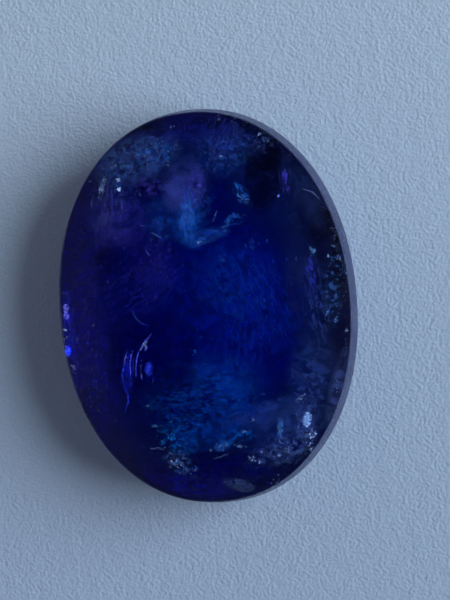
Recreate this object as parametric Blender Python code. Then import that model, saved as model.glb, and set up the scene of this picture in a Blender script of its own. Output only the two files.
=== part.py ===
"""A polished oval tanzanite: a translucent violet-blue cabochon, cut from included rough.

It is one solid piece of zoisite. From the surface that it rests on, it has a small flat
spot, a shallow rounded back, a girdle wall that leans in a little, and a low round dome
that meets the wall in a soft crease. The long axis lies along Y and +Z points up. The origin
is the centre of the flat spot.
"""

import math

import bmesh
import bpy

# Driving dimensions, in metres
GIRDLE_LENGTH = 0.0160
GIRDLE_WIDTH = 0.01212
SPOT_WIDTH = 0.0046
BACK_HEIGHT = 0.0015
WALL_HEIGHT = 0.0013
WALL_LEAN = 0.00012
CREASE_RADIUS = 0.00015
GIRDLE_RADIUS = 0.00025

# Form of the curves
OUTLINE_POWER = 2.12  # 2 is an ellipse, and more is squarer
BACK_POWER = 1.8  # how fast the back steepens on its way out to the girdle
DOME_EDGE_ANGLE = math.radians(39)  # the dome's slope where it meets the wall

# Fineness of the mesh
SEGMENTS = 88
BACK_STEPS = 6
ROUND_STEPS = 3
DOME_STEPS = 15
MERGE_DISTANCE = 1e-7
SHARP_ANGLE = math.radians(30)  # edges bent more than this stay crisp

HALF_WIDTH = GIRDLE_WIDTH / 2
HALF_LENGTH = GIRDLE_LENGTH / 2
CREASE_WIDTH = HALF_WIDTH - WALL_LEAN
CREASE_HEIGHT = BACK_HEIGHT + WALL_HEIGHT
DOME_RADIUS = CREASE_WIDTH / math.sin(DOME_EDGE_ANGLE)

# Colour and polish
STONE_COLOUR = (0.012, 0.03, 0.29, 1.0)
STONE_ROUGHNESS = 0.06
STONE_INDEX = 1.694


def clear_scene():
    """Removes every object, so that the script starts from nothing."""
    for obj in list(bpy.data.objects):
        bpy.data.objects.remove(obj, do_unlink=True)


def outline_point(turn):
    """The girdle's outline at a turn of the lathe, in radians: a slightly squared oval."""
    x = HALF_WIDTH * math.cos(turn)
    y = HALF_LENGTH * math.sin(turn)
    squareness = abs(math.cos(turn)) ** OUTLINE_POWER + abs(math.sin(turn)) ** OUTLINE_POWER
    grow = squareness ** (-1 / OUTLINE_POWER)
    return x * grow, y * grow


def rounded_corner(before, corner, after, radius):
    """Points of the arc that rounds a corner of the profile between two straight runs."""
    ways = []
    for other in (before, after):
        run = (other[0] - corner[0], other[1] - corner[1])
        length = math.hypot(*run)
        ways.append((run[0] / length, run[1] / length))
    (ax, az), (bx, bz) = ways
    half_angle = math.acos(max(-1.0, min(1.0, ax * bx + az * bz))) / 2
    reach = radius / math.tan(half_angle)
    middle = (ax + bx, az + bz)
    to_centre = radius / math.sin(half_angle) / math.hypot(*middle)
    centre = (corner[0] + middle[0] * to_centre, corner[1] + middle[1] * to_centre)
    start = (corner[0] + ax * reach, corner[1] + az * reach)
    end = (corner[0] + bx * reach, corner[1] + bz * reach)
    first = math.atan2(start[1] - centre[1], start[0] - centre[0])
    last = math.atan2(end[1] - centre[1], end[0] - centre[0])
    points = []
    for step in range(ROUND_STEPS + 1):
        angle = first + (last - first) * step / ROUND_STEPS
        points.append(
            (centre[0] + radius * math.cos(angle), centre[1] + radius * math.sin(angle))
        )
    return points


def back_profile():
    """The shallow back, from the edge of the flat spot almost out to the girdle."""
    points = []
    for step in range(BACK_STEPS):
        share = step / BACK_STEPS
        width = SPOT_WIDTH / 2 + (HALF_WIDTH - SPOT_WIDTH / 2) * share
        points.append((width, BACK_HEIGHT * share**BACK_POWER))
    return points


def dome_profile():
    """The dome as an arc of a circle, from the crease up to the apex on the axis."""
    points = []
    for step in range(1, DOME_STEPS + 1):
        angle = DOME_EDGE_ANGLE * (1 - step / DOME_STEPS)
        height = CREASE_HEIGHT + DOME_RADIUS * (math.cos(angle) - math.cos(DOME_EDGE_ANGLE))
        points.append((DOME_RADIUS * math.sin(angle), height))
    return points


def stone_profile():
    """Half of the stone's cross-section across its width, from the flat spot to the apex."""
    back = back_profile()
    dome = dome_profile()
    girdle = (HALF_WIDTH, BACK_HEIGHT)
    crease = (CREASE_WIDTH, CREASE_HEIGHT)
    lower_edge = rounded_corner(back[-1], girdle, crease, GIRDLE_RADIUS)
    upper_edge = rounded_corner(girdle, crease, dome[0], CREASE_RADIUS)
    return back + lower_edge + upper_edge + dome


def turned_stone(profile):
    """A mesh turned from the profile, drawn out to the oval outline and closed below."""
    widest = max(width for width, height in profile)
    mesh = bmesh.new()
    points = [mesh.verts.new((width, 0.0, height)) for width, height in profile]
    edges = [mesh.edges.new(pair) for pair in zip(points, points[1:])]
    bmesh.ops.spin(
        mesh,
        geom=points + edges,
        cent=(0, 0, 0),
        axis=(0, 0, 1),
        angle=math.tau,
        steps=SEGMENTS,
        use_merge=True,
    )
    bmesh.ops.remove_doubles(mesh, verts=mesh.verts, dist=MERGE_DISTANCE)
    for vert in mesh.verts:
        share = math.hypot(vert.co.x, vert.co.y) / widest
        x, y = outline_point(math.atan2(vert.co.y, vert.co.x))
        vert.co.x, vert.co.y = x * share, y * share
    open_edges = [edge for edge in mesh.edges if edge.is_boundary]
    bmesh.ops.holes_fill(mesh, edges=open_edges, sides=0)
    bmesh.ops.recalc_face_normals(mesh, faces=mesh.faces)
    return mesh


def stone_material():
    """Clear violet-blue crystal with a good polish."""
    material = bpy.data.materials.new("tanzanite")
    material.use_nodes = True
    shader = material.node_tree.nodes["Principled BSDF"]
    shader.inputs["Base Color"].default_value = STONE_COLOUR
    shader.inputs["Roughness"].default_value = STONE_ROUGHNESS
    shader.inputs["Metallic"].default_value = 0.0
    shader.inputs["IOR"].default_value = STONE_INDEX
    shader.inputs["Transmission Weight"].default_value = 1.0
    return material


def make_stone():
    """The whole stone as one object."""
    mesh = turned_stone(stone_profile())
    data = bpy.data.meshes.new("tanzanite")
    mesh.to_mesh(data)
    mesh.free()
    data.shade_smooth()
    data.set_sharp_from_angle(angle=SHARP_ANGLE)
    data.materials.append(stone_material())
    stone = bpy.data.objects.new("tanzanite", data)
    bpy.context.scene.collection.objects.link(stone)
    return stone


def main():
    """Builds the stone in an empty scene."""
    clear_scene()
    make_stone()


main()
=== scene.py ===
"""Dresses the polished oval tanzanite: its crystal, the flaws inside it, and a soft-lit pale floor.

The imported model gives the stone's overall sizes. The crystal's skin is made again as a finer mesh of
the same form, and every flaw is placed inside it by where it shows from the photograph's point of view.
"""

import logging
import math
import random
from dataclasses import dataclass, field
from enum import Enum
from functools import cached_property
from typing import Any, NamedTuple

import bmesh
import bpy
from mathutils import Matrix, Vector, noise

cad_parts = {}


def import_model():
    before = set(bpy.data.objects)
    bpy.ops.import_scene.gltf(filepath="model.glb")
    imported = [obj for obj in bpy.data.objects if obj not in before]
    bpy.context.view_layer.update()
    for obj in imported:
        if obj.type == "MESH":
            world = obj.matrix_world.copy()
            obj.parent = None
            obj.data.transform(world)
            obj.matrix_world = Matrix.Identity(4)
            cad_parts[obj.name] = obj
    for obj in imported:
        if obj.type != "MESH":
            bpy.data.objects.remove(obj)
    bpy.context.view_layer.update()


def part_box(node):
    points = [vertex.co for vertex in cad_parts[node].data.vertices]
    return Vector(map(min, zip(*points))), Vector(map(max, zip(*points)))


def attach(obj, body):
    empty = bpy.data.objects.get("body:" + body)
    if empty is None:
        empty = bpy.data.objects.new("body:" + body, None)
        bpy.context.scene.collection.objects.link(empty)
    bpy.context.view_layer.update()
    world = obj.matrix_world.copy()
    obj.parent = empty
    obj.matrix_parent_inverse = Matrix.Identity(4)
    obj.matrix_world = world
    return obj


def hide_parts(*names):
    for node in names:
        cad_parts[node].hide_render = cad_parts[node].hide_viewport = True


MM = 0.001
NODE = "tanzanite"
BODY = "root"
PHOTO_WIDTH, PHOTO_HEIGHT = 450, 600
PIXEL_SIZE = 0.0406  # millimetres of the stone to a pixel of the photograph
CRYSTAL_INDEX = 1.694
FLATTENED = 1e6  # a stretch that takes an axis out of a pattern
FAINTEST = 0.05  # the least share of its painted glow that a grain gives off

log = logging.getLogger("tanzanite")

Colour = tuple[float, float, float]
Band = tuple[float, float]


class Pixel(NamedTuple):
    """A point of the photograph, in pixels from its upper left corner."""

    x: float
    y: float


class Wire:
    """One value in a node tree. Arithmetic on it adds Math nodes."""

    def __init__(self, desk: "Desk", socket: bpy.types.NodeSocket) -> None:
        """Keeps the socket and the desk that its tree is built on."""
        self.desk = desk
        self.socket = socket

    def _maths(self, operation: str, *values: Any) -> "Wire":
        """A Math node of one operation on these values."""
        return self.desk.node("ShaderNodeMath", {"operation": operation}, dict(enumerate(values)))

    def __add__(self, other: Any) -> "Wire":
        """self + other."""
        return self._maths("ADD", self, other)

    def __sub__(self, other: Any) -> "Wire":
        """self - other."""
        return self._maths("SUBTRACT", self, other)

    def __rsub__(self, other: Any) -> "Wire":
        """other - self."""
        return self._maths("SUBTRACT", other, self)

    def __mul__(self, other: Any) -> "Wire":
        """self * other."""
        return self._maths("MULTIPLY", self, other)

    __radd__ = __add__
    __rmul__ = __mul__

    def ease(self, low: float, high: float) -> "Wire":
        """Rises smoothly from 0 at low to 1 at high.

        Args:
            low: the value that gives 0.
            high: the value that gives 1; lower than low, it turns the rise round.

        Returns:
            The eased value.
        """
        settings = {"interpolation_type": "SMOOTHSTEP"}
        return self.desk.node("ShaderNodeMapRange", settings, {0: self, 1: low, 2: high, 3: 0.0, 4: 1.0})


class Desk:
    """Where a node tree is put together."""

    def __init__(self, tree: bpy.types.NodeTree) -> None:
        """Starts on this tree, with nothing in it."""
        self.tree = tree
        tree.nodes.clear()

    def node(
        self,
        kind: str,
        settings: dict[str, Any] | None = None,
        inputs: dict[str | int, Any] | None = None,
        output: str | int = 0,
    ) -> Wire:
        """Adds one node.

        Args:
            kind: the node's type name.
            settings: its properties, set before its sockets.
            inputs: the value or Wire of each socket, by name or place.
            output: which output the Wire carries on from.

        Returns:
            The wire from the chosen output.
        """
        made = self.tree.nodes.new(kind)
        for name, value in (settings or {}).items():
            setattr(made, name, value)
        for key, value in (inputs or {}).items():
            if isinstance(value, Wire):
                self.tree.links.new(value.socket, made.inputs[key])
            else:
                made.inputs[key].default_value = value
        return Wire(self, made.outputs[output] if len(made.outputs) else None)

    def millimetres(self, stretch: Colour = (1, 1, 1)) -> Wire:
        """Object coordinates in millimetres, for a pattern to read.

        Args:
            stretch: how many times longer the pattern gets along each axis.

        Returns:
            The coordinates.
        """
        place = self.node("ShaderNodeTexCoord", output="Object")
        scale = tuple(1 / (MM * axis) for axis in stretch)
        return self.node("ShaderNodeMapping", None, {"Vector": place, "Scale": scale})

    def coordinate(self, place: Wire, axis: str) -> Wire:
        """One coordinate, such as Z, of a place or a way."""
        return self.node("ShaderNodeSeparateXYZ", None, {0: place}, axis)

    def noise(
        self, place: Wire, size: float, detail: float = 3.0, bend: float = 0.0, rough: float = 0.55
    ) -> Wire:
        """Soft noise from about 0.3 to 0.7.

        Args:
            place: the coordinates to read it at, in millimetres.
            size: the size of its lumps in millimetres.
            detail: how many finer layers lie on it.
            bend: how far it is warped by itself.
            rough: how much the finer layers count.

        Returns:
            The noise value.
        """
        shape = {"Scale": 1 / size, "Detail": detail, "Roughness": rough, "Distortion": bend}
        return self.node("ShaderNodeTexNoise", None, {"Vector": place, **shape})

    def mix(self, share: Any, first: Any, second: Any) -> Wire:
        """A colour between two others.

        Args:
            share: 0 gives the first colour and 1 the second.
            first: a colour or a Wire of one.
            second: a colour or a Wire of one.

        Returns:
            The mixed colour.
        """
        colours = [value if isinstance(value, Wire) else (*value, 1.0) for value in (first, second)]
        inputs = {"Factor": share, 6: colours[0], 7: colours[1]}
        return self.node("ShaderNodeMix", {"data_type": "RGBA"}, inputs, 2)

    def painted(self, name: str, output: str) -> Wire:
        """What the mesh carries under this name: a number as Fac or a colour as Color."""
        return self.node("ShaderNodeAttribute", {"attribute_name": name}, output=output)

    def scaled(self, vector: Wire, factor: Any) -> Wire:
        """A vector or colour times a number."""
        return self.node("ShaderNodeVectorMath", {"operation": "SCALE"}, {0: vector, "Scale": factor})

    def surface(self, inputs: dict[str, Any]) -> Wire:
        """A Principled surface with these values."""
        return self.node("ShaderNodeBsdfPrincipled", None, inputs)

    def finish_material(self, surface: Wire, volume: Wire | None = None) -> None:
        """Joins the finished shaders to the material's output.

        Args:
            surface: the surface's shader.
            volume: the shader of what it holds, if it is see-through.
        """
        links = {"Surface": surface}
        if volume:
            links["Volume"] = volume
        self.node("ShaderNodeOutputMaterial", None, links)


def new_material(name: str) -> tuple[bpy.types.Material, Desk]:
    """An empty material.

    Args:
        name: what to call it.

    Returns:
        The material and the desk for its nodes.
    """
    material = bpy.data.materials.new(name)
    material.use_nodes = True
    return material, Desk(material.node_tree)


def new_mesh(name: str, work: bmesh.types.BMesh) -> bpy.types.Mesh:
    """Turns a working mesh into a kept one.

    Args:
        name: what to call it.
        work: the working mesh, which is used up.

    Returns:
        The mesh, shaded smooth.
    """
    mesh = bpy.data.meshes.new(name)
    work.to_mesh(mesh)
    work.free()
    mesh.shade_smooth()
    return mesh


def new_piece(name: str, mesh: bpy.types.Mesh) -> bpy.types.Object:
    """An object of a mesh, at the origin and in the scene.

    Args:
        name: the piece's name.
        mesh: its shape, in the model's frame.

    Returns:
        The object.
    """
    piece = bpy.data.objects.new(name, mesh)
    bpy.context.scene.collection.objects.link(piece)
    return piece


def declare(piece: bpy.types.Object, replaced: str | None = None) -> None:
    """Tells the frame what a finished piece is, and logs it.

    Args:
        piece: the finished piece.
        replaced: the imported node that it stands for, if any.
    """
    if replaced:
        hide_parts(replaced)
    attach(piece, BODY)
    log.info("%s: %d faces", piece.name, len(piece.data.polygons))


@dataclass(frozen=True)
class Form:
    """The stone's form: an oval girdle, a shallow back, a leaning wall and a round dome."""

    half_width: float
    half_length: float
    height: float
    spot_width: float = 4.6 * MM
    back_height: float = 1.5 * MM
    wall_height: float = 1.3 * MM
    wall_lean: float = 0.12 * MM
    girdle_radius: float = 0.25 * MM
    crease_radius: float = 0.15 * MM
    outline_power: float = 2.12
    back_power: float = 1.8
    dome_edge_angle: float = math.radians(39)
    fall: float = 8.0  # how steeply the dome is carried on downwards outside the crease
    slope_step: float = 0.02 * MM

    @classmethod
    def from_frame(cls) -> "Form":
        """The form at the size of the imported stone."""
        low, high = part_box(NODE)
        return cls(half_width=high[0], half_length=high[1], height=high[2])

    @property
    def crease_width(self) -> float:
        """Half the stone's width at the crease between wall and dome."""
        return self.half_width - self.wall_lean

    @property
    def crease_height(self) -> float:
        """The crease's height above the flat spot."""
        return self.back_height + self.wall_height

    @property
    def dome_radius(self) -> float:
        """The radius of the dome's section across the stone's width."""
        return self.crease_width / math.sin(self.dome_edge_angle)

    def outline(self, turn: float) -> Vector:
        """The girdle's outline.

        Args:
            turn: the angle of the lathe, in radians.

        Returns:
            The point of the slightly squared oval, at height 0.
        """
        x, y = self.half_width * math.cos(turn), self.half_length * math.sin(turn)
        power = self.outline_power
        squareness = abs(math.cos(turn)) ** power + abs(math.sin(turn)) ** power
        return Vector((x, y, 0)) * squareness ** (-1 / power)

    def width_at(self, x: float, y: float) -> float:
        """The half-width of the ring of the stone that passes over a point of the plan.

        Args:
            x: how far the point is to the right of the middle.
            y: how far it is towards the upper end.

        Returns:
            The half-width, in metres.
        """
        power = self.outline_power
        share = (abs(x / self.half_width) ** power + abs(y / self.half_length) ** power) ** (1 / power)
        return share * self.half_width

    def dome_height(self, x: float, y: float) -> float:
        """The dome's height over a point of the plan, carried on downwards outside the crease.

        Args:
            x: how far the point is to the right of the middle.
            y: how far it is towards the upper end.

        Returns:
            The height above the flat spot, in metres.
        """
        width = self.width_at(x, y)
        if width >= self.crease_width:
            return self.crease_height - (width - self.crease_width) * self.fall
        rise = math.sqrt(self.dome_radius**2 - width**2)
        return self.crease_height + rise - self.dome_radius * math.cos(self.dome_edge_angle)

    def dome_normal(self, x: float, y: float) -> Vector:
        """The way out of the dome over a point of the plan.

        Args:
            x: how far the point is to the right of the middle.
            y: how far it is towards the upper end.

        Returns:
            The outward normal.
        """
        step = self.slope_step
        slope_x = (self.dome_height(x + step, y) - self.dome_height(x - step, y)) / (2 * step)
        slope_y = (self.dome_height(x, y + step) - self.dome_height(x, y - step)) / (2 * step)
        return Vector((-slope_x, -slope_y, 1)).normalized()

    def corner(self, before: Vector, point: Vector, after: Vector, radius: float, steps: int) -> list[Vector]:
        """Rounds a corner of the profile.

        Args:
            before: the profile's last point before the corner.
            point: the sharp corner.
            after: the next point after it.
            radius: the rounding's radius.
            steps: how many pieces the arc has.

        Returns:
            The arc's points.
        """
        ways = [(other - point).normalized() for other in (before, after)]
        half_angle = ways[0].angle(ways[1]) / 2
        centre = point + (ways[0] + ways[1]).normalized() * radius / math.sin(half_angle)
        ends = [point + way * radius / math.tan(half_angle) - centre for way in ways]
        return [centre + ends[0].slerp(ends[1], step / steps) * radius for step in range(steps + 1)]

    def back(self, steps: int) -> list[Vector]:
        """The back's part of the profile.

        Args:
            steps: how many rings it has.

        Returns:
            Its points, from the edge of the flat spot almost out to the girdle.
        """
        points = []
        for step in range(steps):
            share = step / steps
            width = self.spot_width / 2 + (self.half_width - self.spot_width / 2) * share
            points.append(Vector((width, self.back_height * share**self.back_power)))
        return points

    def dome(self, steps: int) -> list[Vector]:
        """The dome's part of the profile.

        Args:
            steps: how many rings it has.

        Returns:
            Its points, from just inside the crease up to the apex.
        """
        points = []
        for step in range(1, steps + 1):
            angle = self.dome_edge_angle * (1 - step / steps)
            rise = math.cos(angle) - math.cos(self.dome_edge_angle)
            arc = Vector((math.sin(angle), rise)) * self.dome_radius
            points.append(arc + Vector((0, self.crease_height)))
        return points

    def profile(self, back_steps: int = 14, corner_steps: int = 6, dome_steps: int = 44) -> list[Vector]:
        """Half the section across the width.

        Args:
            back_steps: how many rings the back has.
            corner_steps: how many pieces each rounded corner has.
            dome_steps: how many rings the dome has.

        Returns:
            Points with the half-width as x and the height as y, from the flat spot up to the apex.
        """
        back = self.back(back_steps)
        dome = self.dome(dome_steps)
        girdle = Vector((self.half_width, self.back_height))
        crease = Vector((self.crease_width, self.crease_height))
        lower = self.corner(back[-1], girdle, crease, self.girdle_radius, corner_steps)
        upper = self.corner(girdle, crease, dome[0], self.crease_radius, corner_steps)
        return back + lower + upper + dome


@dataclass(frozen=True)
class Sight:
    """The photograph's point of view, fitted to the stone's outline and its band of wall."""

    distance: float = 110 * MM
    aim_height: float = 3 * MM
    lean_right: float = math.radians(11)
    lean_back: float = math.radians(1.3)
    turn: float = math.radians(5.05)
    focal_pixels: float = 2742
    aim_right: float = 0.90 * MM
    aim_up: float = 0.30 * MM
    sensor: float = 36.0
    nearest: float = 0.01
    farthest: float = 2.0

    @cached_property
    def place(self) -> Vector:
        """Where the camera stands."""
        way = Vector((math.tan(self.lean_right), math.tan(self.lean_back), 1)).normalized()
        return Vector((0, 0, self.aim_height)) + way * self.distance

    @cached_property
    def axes(self) -> tuple[Vector, Vector, Vector]:
        """The camera's axes.

        Returns:
            The picture's right, its up, and the way that the camera looks.
        """
        ahead = (Vector((0, 0, self.aim_height)) - self.place).normalized()
        right, up = self._across(ahead)
        aim = Vector((0, 0, self.aim_height)) + right * self.aim_right + up * self.aim_up
        ahead = (aim - self.place).normalized()
        right, up = self._across(ahead)
        return right, up, ahead

    def _across(self, ahead: Vector) -> tuple[Vector, Vector]:
        """The picture's sides for a way of looking, turned as the stone lies in the picture.

        Args:
            ahead: the way of looking.

        Returns:
            The picture's right and its up.
        """
        level = ahead.cross(Vector((0, 1, 0))).normalized()
        upright = level.cross(ahead)
        right = level * math.cos(self.turn) - upright * math.sin(self.turn)
        up = level * math.sin(self.turn) + upright * math.cos(self.turn)
        return right, up

    def ray(self, pixel: Pixel) -> Vector:
        """The way from the camera through a pixel.

        Args:
            pixel: the point of the photograph.

        Returns:
            The way, one metre long.
        """
        right, up, ahead = self.axes
        across = (pixel.x - PHOTO_WIDTH / 2) / self.focal_pixels
        above = (PHOTO_HEIGHT / 2 - pixel.y) / self.focal_pixels
        return (ahead + right * across + up * above).normalized()

    def add_camera(self) -> None:
        """Makes the camera and gives it to the scene."""
        data = bpy.data.cameras.new("camera")
        data.sensor_width = self.sensor
        data.lens = self.focal_pixels * self.sensor / PHOTO_HEIGHT
        data.clip_start = self.nearest
        data.clip_end = self.farthest
        camera = bpy.data.objects.new("camera", data)
        right, up, ahead = self.axes
        stance = Matrix((right, up, -ahead)).transposed().to_4x4()
        camera.matrix_world = Matrix.Translation(self.place) @ stance
        bpy.context.scene.collection.objects.link(camera)
        bpy.context.scene.camera = camera


@dataclass(frozen=True)
class Optics:
    """Follows the photograph's rays of sight through the dome into the crystal.

    A flaw is held clear of the back and the wall by back_gap, and of the dome by dome_gap.
    """

    form: Form
    sight: Sight
    index: float = CRYSTAL_INDEX
    halvings: int = 26
    back_gap: float = 0.12 * MM
    dome_gap: float = 0.03 * MM
    core_share: float = 0.85  # the core's height as a share of the crease's
    entry_pull: float = 0.12
    entry_tries: int = 14
    core_pull: float = 0.03
    core_tries: int = 40

    def surface(self, pixel: Pixel) -> Vector:
        """Where a pixel's ray meets the dome.

        Args:
            pixel: the point of the photograph.

        Returns:
            The point on the dome.
        """
        start, way = self.sight.place, self.sight.ray(pixel)
        near = (start.z - self.form.height) / -way.z
        far = start.z / -way.z
        for _ in range(self.halvings):
            middle = (near + far) / 2
            point = start + way * middle
            if point.z > self.form.dome_height(point.x, point.y):
                near = middle
            else:
                far = middle
        return start + way * near

    def inside(self, pixel: Pixel, depth: float) -> Vector:
        """The point that shows at a pixel and lies this deep in the crystal.

        Args:
            pixel: the point of the photograph.
            depth: how far the bent ray has gone into the stone, in metres.

        Returns:
            The point, kept inside the stone.
        """
        entry = self.surface(pixel)
        normal = self.form.dome_normal(entry.x, entry.y)
        way = self.sight.ray(pixel)
        facing = -normal.dot(way)
        bent = way / self.index
        bent += normal * (facing / self.index - math.sqrt(1 - (1 - facing**2) / self.index**2))
        return self.clear_of_back(entry, entry + bent.normalized() * depth)

    def clear_of_back(self, entry: Vector, point: Vector) -> Vector:
        """Draws a point back towards its entry, and then towards the core, until it is inside the stone.

        Args:
            entry: where the ray of sight goes into the stone.
            point: where it would end.

        Returns:
            The point, or the nearest one on its way back that the stone holds.
        """
        core = Vector((0, 0, self.form.crease_height * self.core_share))
        pulls = ((entry, self.entry_pull, self.entry_tries), (core, self.core_pull, self.core_tries))
        for target, share, tries in pulls:
            for _ in range(tries):
                if self.holds(point):
                    return point
                point = point.lerp(target, share)
        return point

    def holds(self, point: Vector) -> bool:
        """Whether a point is inside the stone, clear of the back, the wall and the dome.

        Args:
            point: the point to look at.

        Returns:
            True inside.
        """
        form = self.form
        width = form.width_at(point.x, point.y)
        if width > form.crease_width - self.back_gap:
            return False
        if point.z > form.dome_height(point.x, point.y) - self.dome_gap:
            return False
        share = max(0.0, (width - form.spot_width / 2) / (form.half_width - form.spot_width / 2))
        return point.z > form.back_height * share**form.back_power + self.back_gap

    def shows(self, pixel: Pixel) -> bool:
        """Whether a pixel's ray meets the dome."""
        entry = self.surface(pixel)
        return self.form.width_at(entry.x, entry.y) < self.form.crease_width


@dataclass(frozen=True)
class CrystalFinish:
    """Violet-blue crystal: polished on the dome, finely ground on the wall and matte on the back.

    Sizes and blends are in millimetres. A band is where an eased pattern starts and where it is full.
    """

    polish: float = 0.02
    smear: float = 0.02
    smear_size: float = 1.8
    smear_band: Band = (0.45, 0.70)
    ground: float = 0.25
    matte: float = 0.80
    wall_matte: float = 0.45
    wall_blend: Band = (0.03, -0.03)
    back_blend: Band = (0.05, -0.10)
    patch_size: float = 1.6
    patch_bend: float = 0.3
    patch_reach: float = 0.8
    rim_shade_band: Band = (0.35, 1.0)
    matte_colour: Colour = (0.42, 0.46, 0.60)
    rim_shade_colour: Colour = (0.06, 0.07, 0.20)
    matte_roughness: float = 0.6
    matte_specular: float = 0.2
    absorbed: Colour = (0.0, 0.34, 0.917)
    density: float = 600.0

    def material(self, form: Form) -> bpy.types.Material:
        """Makes the material.

        Args:
            form: the stone's form, for the heights where the polish and the wall begin.

        Returns:
            The material.
        """
        material, desk = new_material("tanzanite_crystal")
        place = desk.millimetres()
        height = desk.coordinate(place, "Z")
        ground = height.ease(*(form.crease_height / MM + blend for blend in self.wall_blend))
        back = height.ease(*(form.back_height / MM + blend for blend in self.back_blend))
        clear = self._clear(desk, place, ground)
        matte = self._matte(desk, place, form)
        share = ground * self.wall_matte + back * (self.matte - self.wall_matte)
        surface = desk.node("ShaderNodeMixShader", None, {0: share, 1: clear, 2: matte})
        held = {"Color": (*self.absorbed, 1.0), "Density": self.density}
        desk.finish_material(surface, desk.node("ShaderNodeVolumeAbsorption", None, held))
        return material

    def _clear(self, desk: Desk, place: Wire, ground: Wire) -> Wire:
        """The see-through skin, with faint smears in its polish.

        Args:
            desk: where the material is built.
            place: the coordinates in millimetres.
            ground: 1 below the crease and 0 on the dome.

        Returns:
            The shader.
        """
        smears = desk.noise(place, self.smear_size, detail=4.0).ease(*self.smear_band)
        roughness = self.polish + smears * self.smear + ground * self.ground
        inputs = {"Base Color": (1.0, 1.0, 1.0, 1.0), "Roughness": roughness}
        return desk.surface({**inputs, "IOR": CRYSTAL_INDEX, "Transmission Weight": 1.0})

    def _matte(self, desk: Desk, place: Wire, form: Form) -> Wire:
        """The unpolished skin of the back, made darker and bluer out towards the girdle by painted shade.

        Args:
            desk: where the material is built.
            place: the coordinates in millimetres.
            form: the stone's form, for its width and length.

        Returns:
            The shader.
        """
        flat = desk.millimetres((form.half_width / MM, form.half_length / MM, FLATTENED))
        outward = desk.node("ShaderNodeVectorMath", {"operation": "LENGTH"}, {0: flat}, "Value")
        patches = desk.noise(place, self.patch_size, detail=5.0, bend=self.patch_bend) - 0.5
        # Painted shade: the back is darkened out towards the girdle, in ragged patches.
        rim = (outward + patches * self.patch_reach).ease(*self.rim_shade_band)
        colour = desk.mix(rim, self.matte_colour, self.rim_shade_colour)
        inputs = {"Base Color": colour, "Roughness": self.matte_roughness}
        return desk.surface({**inputs, "Specular IOR Level": self.matte_specular})


@dataclass
class Skin:
    """The crystal itself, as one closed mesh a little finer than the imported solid."""

    form: Form
    finish: CrystalFinish = field(default_factory=CrystalFinish)
    segments: int = 256

    def mesh(self) -> bpy.types.Mesh:
        """Turns the profile and draws it out to the oval outline.

        Returns:
            The closed mesh.
        """
        profile = self.form.profile()
        widest = max(point.x for point in profile)
        outline = [self.form.outline(math.tau * step / self.segments) for step in range(self.segments)]
        work = bmesh.new()
        rings = []
        for point in profile[:-1]:
            height = Vector((0, 0, point.y))
            rings.append([work.verts.new(edge * (point.x / widest) + height) for edge in outline])
        apex = work.verts.new((0, 0, self.form.height))
        foot = work.verts.new((0, 0, 0))
        pairs = [(step, (step + 1) % self.segments) for step in range(self.segments)]
        for lower, upper in zip(rings, rings[1:]):
            for step, after in pairs:
                work.faces.new((lower[step], lower[after], upper[after], upper[step]))
        for step, after in pairs:
            work.faces.new((rings[-1][step], rings[-1][after], apex))
            work.faces.new((rings[0][after], rings[0][step], foot))
        bmesh.ops.recalc_face_normals(work, faces=work.faces)
        return new_mesh("crystal", work)

    def build(self) -> None:
        """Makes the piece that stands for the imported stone."""
        piece = new_piece("crystal", self.mesh())
        piece.data.materials.append(self.finish.material(self.form))
        declare(piece, NODE)


class Tint(Enum):
    """The colours of the flaws, before the crystal above them has coloured them."""

    WHITE = (0.80, 0.88, 0.95)
    MILK = (0.48, 0.60, 1.0)
    ICE = (0.26, 0.62, 1.0)
    GREY = (0.20, 0.27, 0.60)
    LILAC = (0.42, 0.42, 1.0)
    VIOLET = (0.26, 0.17, 0.95)
    BLUE = (0.10, 0.40, 1.0)
    # SPARK, EDGE, CHEVRON and GLINT mostly tint painted glints.
    SPARK = (0.03, 0.07, 1.0)
    EDGE = (0.14, 0.15, 0.90)
    CHEVRON = (0.24, 0.24, 0.92)
    GLINT = (0.50, 0.70, 1.0)
    TEAL = (0.02, 0.46, 1.0)
    FOG = (0.38, 0.52, 0.66)
    CORE = (0.03, 0.20, 1.0)
    # DEEP, NIGHT and DARK also tint the sheets of painted shade.
    DEEP = (0.04, 0.04, 0.80)
    NIGHT = (0.002, 0.006, 0.34)
    DARK = (0.002, 0.003, 0.03)


@dataclass(frozen=True)
class VeilFinish:
    """A thin veil in the crystal: patches of a pattern that may be drawn out along the veil.

    The pattern's lump is in millimetres, and long is how many times longer it is along the veil. It
    starts at thin and is full at thick, and ground is how dense the veil is between its patches.
    """

    name: str
    lump: float
    long: float
    thin: float
    thick: float
    detail: float
    rough: float = 0.62
    bend: float = 0.25
    ground: float = 0.2
    roughness: float = 0.8
    specular: float = 0.1

    def material(self) -> bpy.types.Material:
        """Makes the material. It reads how dense and what colour each sheet is from the mesh.

        Returns:
            The material.
        """
        material, desk = new_material(self.name)
        spread = desk.node("ShaderNodeUVMap", {"uv_map": "spread"})
        along = {"Vector": spread, "Scale": (1 / self.long, 1.0, 1.0)}
        place = desk.node("ShaderNodeMapping", None, along)
        pattern = desk.noise(place, self.lump, self.detail, self.bend, self.rough)
        patches = pattern.ease(self.thin, self.thick)
        tint = desk.painted("tint", "Color")
        inputs = {
            "Base Color": tint,
            "Roughness": self.roughness,
            "Specular IOR Level": self.specular,
            # Painted glow: the veil gives off light of its own tint, as much as the glow it carries.
            "Emission Color": desk.scaled(tint, desk.painted("painted_glow", "Fac")),
            "Emission Strength": 1.0,
            "Alpha": desk.painted("milk", "Fac") * (patches * (1 - self.ground) + self.ground),
        }
        desk.finish_material(desk.surface(inputs))
        return material


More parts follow.
